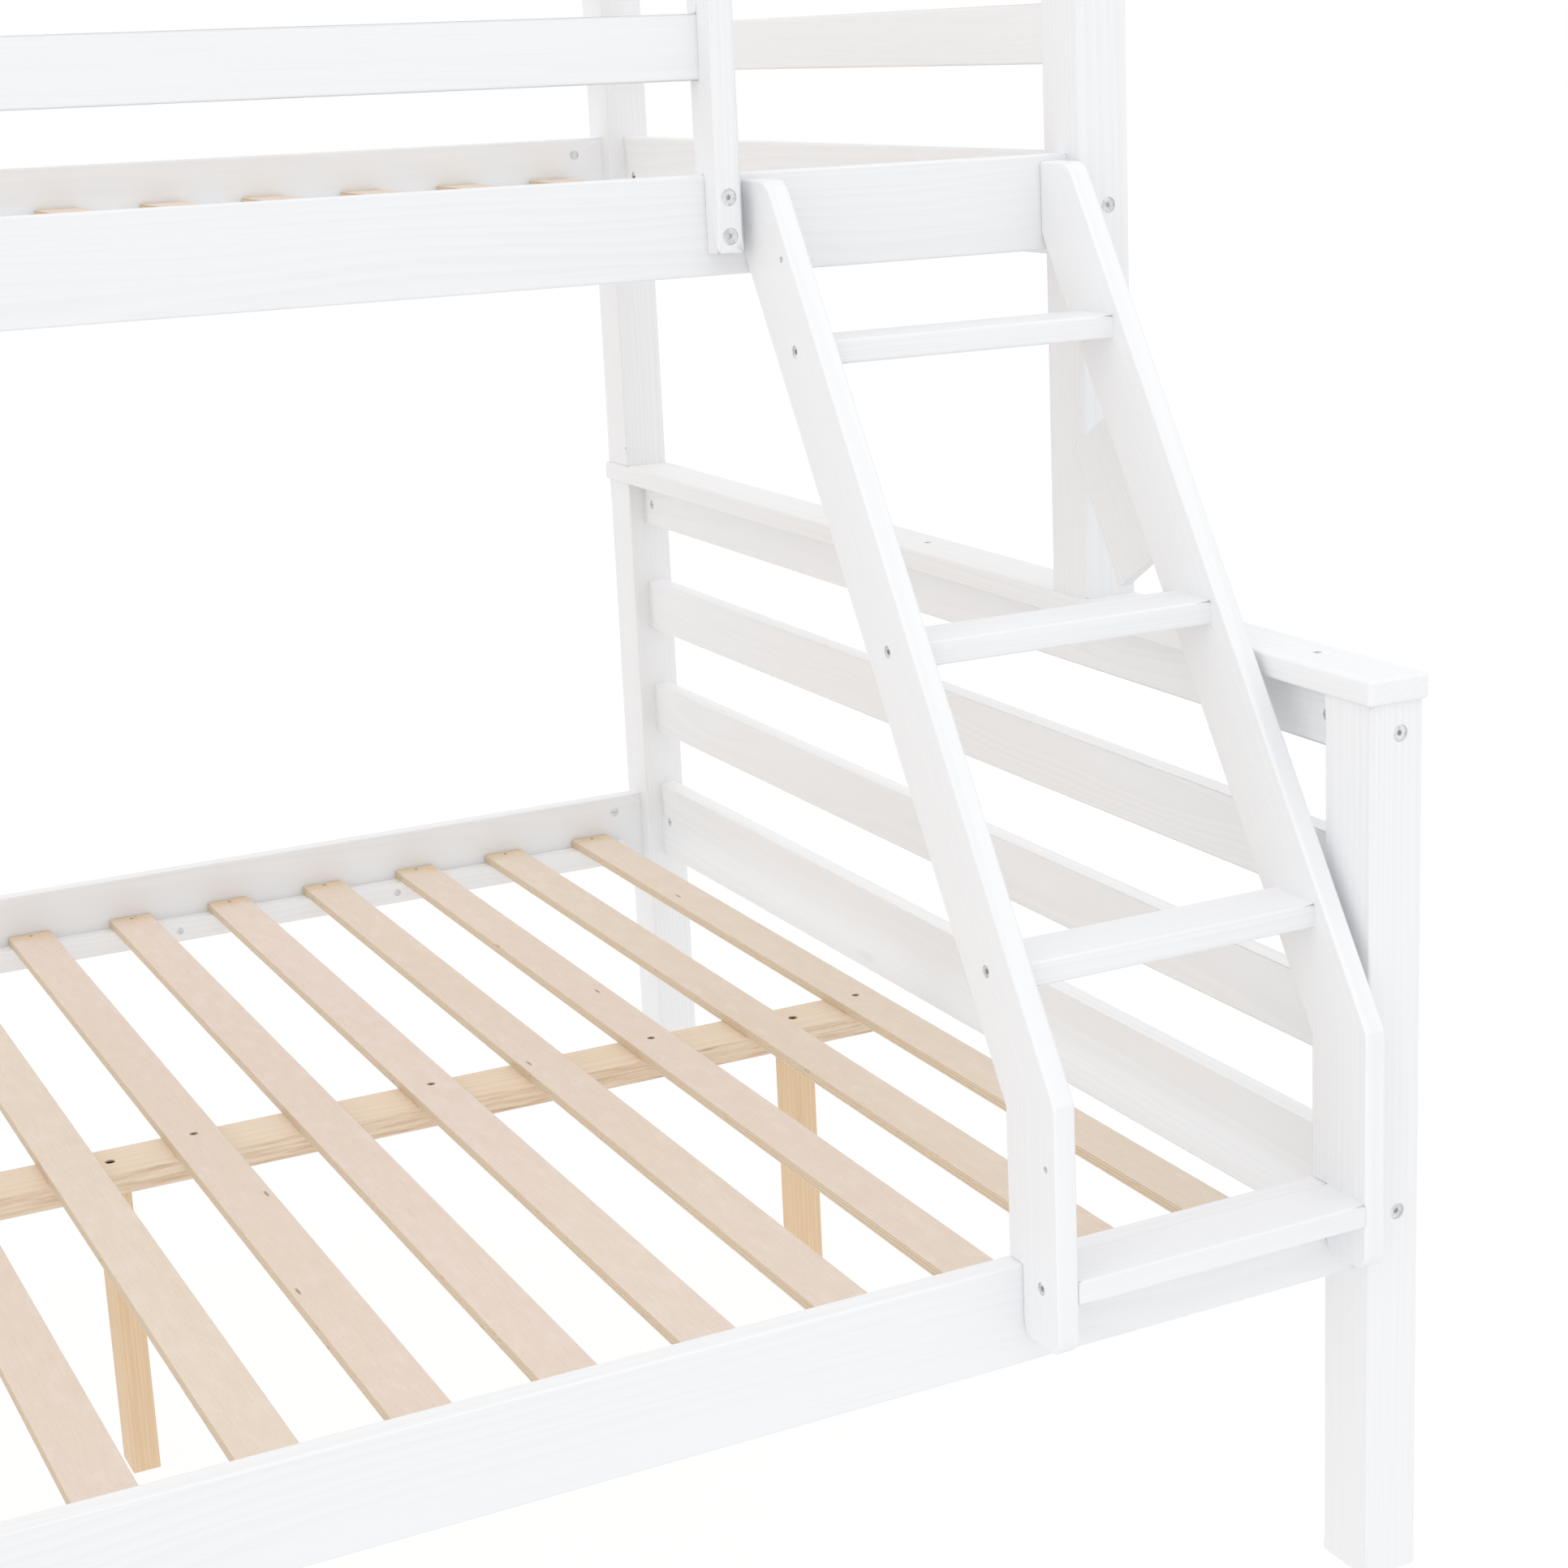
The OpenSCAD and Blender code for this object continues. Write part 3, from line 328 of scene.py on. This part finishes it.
def wood_rings(g, space, rng, cut):
    """The patterns of a board cut from a log with growth rings, each 0 to 1."""
    u, v, w = space
    shift = [rng.uniform(-PATTERN_SHIFT, PATTERN_SHIFT) for _ in range(3)]
    angle = rng.uniform(*cut["angle"]) * math.pi
    far = rng.uniform(*cut["pith"])
    pith_v, pith_w = math.cos(angle) * far, math.sin(angle) * far * rng.choice((-1, 1))
    slow = g.noise(g.join(g.times(u, SLOW_RATE[0]), g.times(v, SLOW_RATE[1]),
                          g.math("ADD", w, shift[0])), 3.0)
    sways = g.noise(g.join(g.times(u, SWAY_RATE[0]), g.times(v, SWAY_RATE[1]),
                           g.math("MULTIPLY_ADD", w, SWAY_RATE[2], shift[1])))
    # knots: each lies in a cell of its own, and the rings bend around it
    distance, chosen, knot = g.cells(g.math("MULTIPLY_ADD", u, KNOT_RATE[0], shift[2]),
                                     g.math("MULTIPLY_ADD", v, KNOT_RATE[1], shift[0]),
                                     cut["knots"], KNOT_RIM)
    bend = g.times(g.times(g.span(distance, *KNOT_REACH), chosen), KNOT_BEND)
    away = g.math("SQRT", g.math("ADD", g.math("POWER", g.math("SUBTRACT", v, pith_v), 2.0),
                                 g.math("POWER", g.math("SUBTRACT", w, pith_w), 2.0)))
    radius = g.math("ADD", g.math("MULTIPLY_ADD", sways, cut["sway"], away), bend)
    # years of fast and slow growth make wide and narrow rings
    years = g.noise(g.join(g.times(radius, YEARS_RATE), shift[1], shift[2]), 1.0)
    radius = g.math("MULTIPLY_ADD", years, cut["ring"] * YEARS_SHIFT, radius)
    phase = g.math("FRACT", g.math("DIVIDE", radius, cut["ring"]))
    late = g.times(g.span(phase, *LATE_RISE), g.span(phase, *LATE_FALL))
    late = g.times(late, g.span(slow, *LATE_PATCHES))
    fibre = g.noise(g.spread(space, FIBRE_RATE), 2.0, 0.6)
    return {"late": late, "fibre": fibre, "knot": knot, "slow": slow}


def painted_pine(name, board, rng, cut, leaning=False):
    """White satin paint over pine: the late wood stands proud and shades the paint a little."""
    g = Graph(name)
    space = leaning_space(g, board[0]) if leaning else board_space(g, *board)
    wood = wood_rings(g, space, rng, cut)
    colour = g.tint(PAINT, wood["late"], cut["show"], PAINT_LATE)
    colour = g.tints(colour, wood, PAINT_TINTS)
    colour = g.tint(colour, wood["knot"], 0.5, PAINT_KNOT)
    height = g.math("ADD", g.times(wood["late"], 0.6), g.times(wood["fibre"], 0.4))
    height = g.math("SUBTRACT", height, g.times(wood["knot"], 0.5))
    g.bump(height, distance=0.00020, strength=0.5)
    g.shader.inputs["Specular IOR Level"].default_value = WOOD_SPECULAR
    return g.finish(colour, g.span(wood["slow"], 0.2, 0.8, 0.4, 0.52))


def slat_edge(g, place, patterns):
    """The edge of a slat: plies, ragged in places. Gives the colour and the plies."""
    x, moved, z = place
    level = g.math("MULTIPLY_ADD", patterns["broad"], PLY_WAVE, z)
    plies = g.math("FRACT", g.math("DIVIDE", level, PLY_THICKNESS))
    ply = g.times(g.span(plies, *PLY_START), g.span(plies, *PLY_END))
    chips = g.noise(g.spread((x, moved, z), SLAT_CHIP_RATE), 3.0, 0.6)
    return g.tints(g.mix(ply, EDGE_PLAIN, EDGE_PLY), {"chips": chips}, EDGE_TINTS), ply


def slat_veneer(name, low, high):
    """Veneer slats along Y: pale faces with fine pores, tanned ends, and edges that show the plies."""
    g = Graph(name)
    x, y, z = g.parts(g.place())
    pitch = (high.x - low.x - SLAT_WIDTH) / (SLAT_COUNT - 1)
    first = low.x + SLAT_WIDTH / 2
    number = g.math("ROUND", g.math("DIVIDE", g.math("SUBTRACT", x, first), pitch))
    own = g.add("ShaderNodeTexWhiteNoise", noise_dimensions="1D")
    g.feed(own.inputs["W"], number)
    shade = g.parts(own.outputs["Color"])
    moved = g.math("MULTIPLY_ADD", number, SLAT_SHIFT, y)
    patterns = {
        "broad": g.noise(g.spread((x, moved, number), SLAT_BROAD_RATE), 3.0),
        "mottle": g.noise(g.spread((x, moved, number), SLAT_MOTTLE_RATE), 3.0, 0.6),
        "fibre": g.noise(g.spread((x, moved, z), SLAT_FIBRE_RATE), 3.0, 0.65),
        "pores": g.noise(g.spread((x, moved, number), SLAT_PORE_RATE), 1.0),
    }
    colour = g.mix(g.span(shade[1], 0.2, 0.95), SLAT_PINK, SLAT_CREAM)
    warm = g.mix(shade[0], SLAT_CREAM, SLAT_TAN)
    colour = g.tint(colour, g.span(patterns["broad"], 0.35, 0.7), 0.5, warm)
    colour = g.tint(colour, shade[0], 0.35, SLAT_TAN)
    colour = g.tints(colour, patterns, SLAT_TINTS)
    # a knot here and there
    spot = g.cells(g.times(x, SLAT_SPOT_RATE[0]), g.times(moved, SLAT_SPOT_RATE[1]), SPOT_SHARE, SPOT_RIM)[2]
    colour = g.tint(colour, spot, 0.7, SLAT_KNOT)
    # the ends are tanned by the saw
    half = (high.y - low.y) / 2
    out = g.math("ABSOLUTE", g.math("SUBTRACT", y, (low.y + high.y) / 2))
    out = g.math("MULTIPLY_ADD", patterns["mottle"], TAN_WANDER, out)
    colour = g.tint(colour, g.span(out, half - TAN_INSIDE, half + TAN_OUTSIDE), 0.75, SLAT_END)
    edge = g.span(g.facing(2), 0.8, 0.35)
    edge_colour, ply = slat_edge(g, (x, moved, z), patterns)
    colour = g.mix(edge, colour, edge_colour)
    height = g.math("ADD", patterns["fibre"], g.times(g.times(ply, edge), 2.0))
    g.bump(height, distance=0.00012, strength=0.6)
    g.shader.inputs["Specular IOR Level"].default_value = WOOD_SPECULAR
    return g.finish(colour, g.span(patterns["fibre"], 0.3, 0.8, 0.55, 0.7))


def bare_pine(name, board, rng, light, dark, cut, sawn=None):
    """Bare wood with its growth rings; sawn is the box of a beam with ragged sawn sides and painted shade in
    its bores.
    """
    g = Graph(name)
    space = board_space(g, *board)
    wood = wood_rings(g, space, rng, cut)
    colour = g.tint(light, wood["late"], 0.6, dark)
    colour = g.tint(colour, g.span(wood["fibre"], 0.5, 0.75), 0.35, dark)
    colour = g.tint(colour, g.span(wood["slow"], 0.4, 0.7), 0.3, PINE_SLOW)
    colour = g.tint(colour, wood["knot"], 0.8, PINE_KNOT)
    height = g.math("ADD", wood["late"], g.times(wood["fibre"], 0.5))
    if sawn:
        side = g.span(g.facing(1), 0.35, 0.8)
        streak = g.noise(g.spread(space, STREAK_RATE), 4.0, 0.7)
        colour = g.tint(colour, g.times(g.span(streak, 0.4, 0.68), side), 0.75, PINE_SAWN)
        split = g.noise(g.spread(space, SPLIT_RATE))
        torn = g.times(g.span(split, 0.66, 0.73), side)
        colour = g.tint(colour, torn, 0.85, PINE_SPLIT)
        # painted shade: the walls of the bores inside the beam are coloured dark
        colour = g.mix(inside_box(g, *sawn, BORE_MARGIN), colour, PINE_BORE_SHADE)
        height = g.math("SUBTRACT", height, g.times(torn, 3.0))
    g.bump(height, distance=0.00015, strength=0.6)
    g.shader.inputs["Specular IOR Level"].default_value = WOOD_SPECULAR
    return g.finish(colour, g.span(wood["fibre"], 0.3, 0.8, 0.5, 0.66))


def plated(name, zones):
    """Zinc-plated steel, slightly stained; zones are boxes where it takes a darker colour, in the beam as
    painted shade: (low, high, colour).
    """
    g = Graph(name)
    cloudy = g.noise(g.place(), 3.0, scale=260.0)
    colour = g.mix(g.span(cloudy, 0.35, 0.7), ZINC_LIGHT, ZINC_DARK)
    for low, high, zone_colour in zones:
        colour = g.mix(inside_box(g, low, high), colour, zone_colour)
    g.shader.inputs["Metallic"].default_value = 0.75
    g.bump(g.noise(g.place(), 2.0, scale=2600.0), distance=0.00004, strength=0.5)
    return g.finish(colour, g.span(cloudy, 0.3, 0.7, 0.3, 0.45))


# ---- rounded edges

def edge_finder():
    """Node group: joins the faces, marks long square edges for rounding and keeps the others sharp."""
    group = bpy.data.node_groups.new("square_edges", "GeometryNodeTree")
    for name, kind in (("Geometry", "Geometry"), ("Shortest", "Float"), ("Grain", "Vector"),
                       ("Least", "Float"), ("Centre", "Vector"), ("Core", "Vector")):
        group.interface.new_socket(name, in_out="INPUT", socket_type="NodeSocket" + kind)
    group.interface.new_socket("Geometry", in_out="OUTPUT", socket_type="NodeSocketGeometry")
    g = Tree(group)
    start = g.add("NodeGroupInput").outputs
    merge = g.add("GeometryNodeMergeByDistance")
    g.feed(merge.inputs["Distance"], SAME_POINT)
    g.feed(merge.inputs["Geometry"], start["Geometry"])
    angle = g.add("GeometryNodeInputMeshEdgeAngle").outputs["Unsigned Angle"]
    square = g.compare("GREATER_THAN", angle, SQUARE_FROM)
    ends = g.add("GeometryNodeInputMeshEdgeVertices").outputs
    length = g.vector("DISTANCE", ends["Position 1"], ends["Position 2"])
    long = g.compare("GREATER_THAN", length, start["Shortest"])
    run = g.vector("NORMALIZE", g.vector("SUBTRACT", ends["Position 1"], ends["Position 2"]))
    lined_up = g.math("ABSOLUTE", g.vector("DOT_PRODUCT", run, start["Grain"]))
    parallel = g.compare("GREATER_EQUAL", lined_up, start["Least"])
    # only the rim: beyond the core in X or in Y
    position = g.add("GeometryNodeInputPosition").outputs[0]
    reach = g.vector("ABSOLUTE", g.vector("SUBTRACT", position, start["Centre"]))
    beyond = g.parts(g.vector("SUBTRACT", reach, start["Core"]))
    rim = g.compare("GREATER_THAN", g.math("MAXIMUM", beyond[0], beyond[1]), 0.0)
    wanted = g.logic("AND", g.logic("AND", long, parallel), rim)
    normal = g.add("GeometryNodeSetMeshNormal", mode="SHARPNESS")
    g.feed(normal.inputs["Remove Custom"], True)
    g.feed(normal.inputs["Mesh"], merge.outputs["Geometry"])
    g.feed(normal.inputs["Edge Sharpness"], g.logic("NIMPLY", square, wanted))
    g.feed(normal.inputs["Face Sharpness"], False)
    store = g.add("GeometryNodeStoreNamedAttribute", data_type="FLOAT", domain="EDGE")
    g.feed(store.inputs["Name"], "bevel_weight_edge")
    g.feed(store.inputs["Geometry"], normal.outputs["Mesh"])
    g.feed(store.inputs["Value"], g.logic("AND", square, wanted))
    g.feed(g.add("NodeGroupOutput").inputs["Geometry"], store.outputs["Geometry"])
    return group


FINDER = edge_finder()
FINDER_INPUTS = {item.name: item.identifier for item in FINDER.interface.items_tree if item.in_out == "INPUT"}


def round_edges(piece, radius, shortest, grain, least, centre=(0, 0, 0), core=(-1, -1, -1)):
    """Rounds the square edges outside the core that run along the grain, or all of them if least is 0."""
    finder = piece.modifiers.new("square_edges", "NODES")
    finder.node_group = FINDER
    values = {"Shortest": shortest, "Grain": tuple(grain), "Least": least,
              "Centre": tuple(centre), "Core": tuple(core)}
    for name, value in values.items():
        finder[FINDER_INPUTS[name]] = value
    bevel = piece.modifiers.new("round_over", "BEVEL")
    bevel.limit_method = "WEIGHT"
    bevel.width = radius
    bevel.segments = ROUNDING_STEPS
    bevel.use_clamp_overlap = False
    bevel.loop_slide = False
    even = piece.modifiers.new("even_normals", "WEIGHTED_NORMAL")
    even.keep_sharp = True


def put_material(piece, material):
    piece.data.materials.clear()
    piece.data.materials.append(material)


# ---- the bed

def board_of(low, high):
    """A board's centre, its longest direction for the grain and its second longest for the wide face."""
    axes = sorted(zip(high - low, (GRAIN_X, GRAIN_Y, GRAIN_Z)), key=lambda pair: -pair[0])
    return (low + high) / 2, axes[0][1], axes[1][1]


def cut_of(node):
    """How a painted piece was sawn: straight lines for a post or a ladder part, rings for a wide board."""
    if "post" in node or node.startswith("ladder_"):
        return STRAIGHT_CUT
    return FLAT_CUT


def dress_painted(piece, node, low, high, rng):
    board = board_of(low, high)
    centre, along = board[:2]
    radius = EDGE_RADIUS["white_paint"]
    leaning = node.startswith("ladder_side")
    put_material(piece, painted_pine("paint_" + node, board, rng, cut_of(node), leaning))
    if "_cap_" in node:
        core = (high - low) / 2 - Vector((CAP_RIM, CAP_RIM, 0))
        round_edges(piece, CAP_RADIUS, 0.0, GRAIN_Y, ANY_WAY, centre, core)
    elif leaning:
        round_edges(piece, radius, SHORTEST_LADDER_EDGE, along, ANY_WAY)
    else:
        round_edges(piece, radius, SHORTEST_EDGE, along, ALONG_GRAIN)


def dress_slats(piece, node, low, high):
    put_material(piece, slat_veneer("veneer_" + node, low, high))
    round_edges(piece, EDGE_RADIUS["slat_wood"], SHORTEST_EDGE, GRAIN_Y, ANY_WAY)


def dress_support(piece, node, low, high, rng):
    """The centre beam and its legs."""
    board = board_of(low, high)
    looks = (LEG_LIGHT, LEG_DARK, LEG_CUT)
    if node == "centre_beam":
        looks = (BEAM_LIGHT, BEAM_DARK, BEAM_CUT, (low, high))
    put_material(piece, bare_pine("pine_" + node, board, rng, *looks))
    round_edges(piece, EDGE_RADIUS["beam_wood"], SHORTEST_EDGE, board[1], ALONG_GRAIN)


def dress_dowels(piece, low, high, rng):
    board = ((low + high) / 2, GRAIN_Y, GRAIN_X)
    put_material(piece, bare_pine("beech_dowels", board, rng, DOWEL_LIGHT, DOWEL_DARK, DOWEL_CUT))


slots = {row["node"]: row["material_slot"] for row in frame["record"]["subparts"]}
# in the slats' boxes the zinc is a darker brownish grey; in the beam's box it gets painted shade, nearly
# black
zinc = plated("zinc_plate", [(*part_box("lower_slats"), DECK_STEEL), (*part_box("upper_slats"), DECK_STEEL),
                             (*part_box("centre_beam"), BEAM_STEEL_SHADE)])
for number, node in enumerate(sorted(frame["nodes"])):
    piece = frame["nodes"][node]
    rng = random.Random(FIRST_SEED + number)
    low, high = (Vector(corner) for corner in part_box(node))
    if slots[node] == "white_paint":
        dress_painted(piece, node, low, high, rng)
    elif slots[node] == "slat_wood":
        dress_slats(piece, node, low, high)
    elif slots[node] == "beam_wood":
        dress_support(piece, node, low, high, rng)
    elif slots[node] == "dowel_wood":
        dress_dowels(piece, low, high, rng)
    else:
        put_material(piece, zinc)


# ---- floor, light and camera

def floor():
    """A plain, very pale floor."""
    mesh = bpy.data.meshes.new("floor")
    half = FLOOR_HALF
    corners = [(-half, -half, 0), (half, -half, 0), (half, half, 0), (-half, half, 0)]
    mesh.from_pydata(corners, [], [(0, 1, 2, 3)])
    piece = bpy.data.objects.new("floor", mesh)
    bpy.context.collection.objects.link(piece)
    g = Graph("pale_floor")
    patches = g.noise(g.place(), 2.0, scale=1.2)
    put_material(piece, g.finish(g.mix(patches, FLOOR_LIGHT, FLOOR_DARK), 0.8))
    g.shader.inputs["Specular IOR Level"].default_value = FLOOR_SPECULAR
    g.shader.inputs["Emission Color"].default_value = WHITE
    g.shader.inputs["Emission Strength"].default_value = FLOOR_GLOW


def sun(name, towards, strength, breadth):
    """A broad fill light that casts no shadow."""
    data = bpy.data.lights.new(name, "SUN")
    data.use_shadow = False
    data.energy = strength
    data.angle = math.radians(breadth)
    lamp = bpy.data.objects.new(name, data)
    bpy.context.collection.objects.link(lamp)
    lamp.rotation_mode = "QUATERNION"
    lamp.rotation_quaternion = Vector(towards).to_track_quat("-Z", "Y")


def studio():
    """White surroundings and three fill lights."""
    world = bpy.data.worlds.new("white_studio")
    world.use_nodes = True
    background = world.node_tree.nodes["Background"]
    background.inputs["Color"].default_value = WHITE
    background.inputs["Strength"].default_value = 1.0
    bpy.context.scene.world = world
    for name, light in LIGHTS.items():
        sun(name, *light)
    bpy.context.scene.view_settings.view_transform = "Standard"


def camera():
    """Puts the camera at the photograph's viewing angle."""
    yaw, pitch, roll = (math.radians(a) for a in (CAMERA_YAW, CAMERA_PITCH, CAMERA_ROLL))
    ahead = Vector((math.sin(yaw) * math.cos(pitch), math.cos(yaw) * math.cos(pitch), -math.sin(pitch)))
    right = Vector((math.cos(yaw), -math.sin(yaw), 0))
    up = right.cross(ahead)
    right, up = right * math.cos(roll) + up * math.sin(roll), up * math.cos(roll) - right * math.sin(roll)
    data = bpy.data.cameras.new("camera")
    data.sensor_width = CAMERA_SENSOR
    data.lens = CAMERA_LENS
    data.shift_x, data.shift_y = CAMERA_SHIFT
    data.clip_start, data.clip_end = CAMERA_CLIP
    eye = bpy.data.objects.new("camera", data)
    bpy.context.collection.objects.link(eye)
    turn = Matrix((right, up, -ahead)).transposed().to_4x4()
    eye.matrix_world = Matrix.Translation(CAMERA_AT) @ turn
    bpy.context.scene.camera = eye


floor()
studio()
camera()
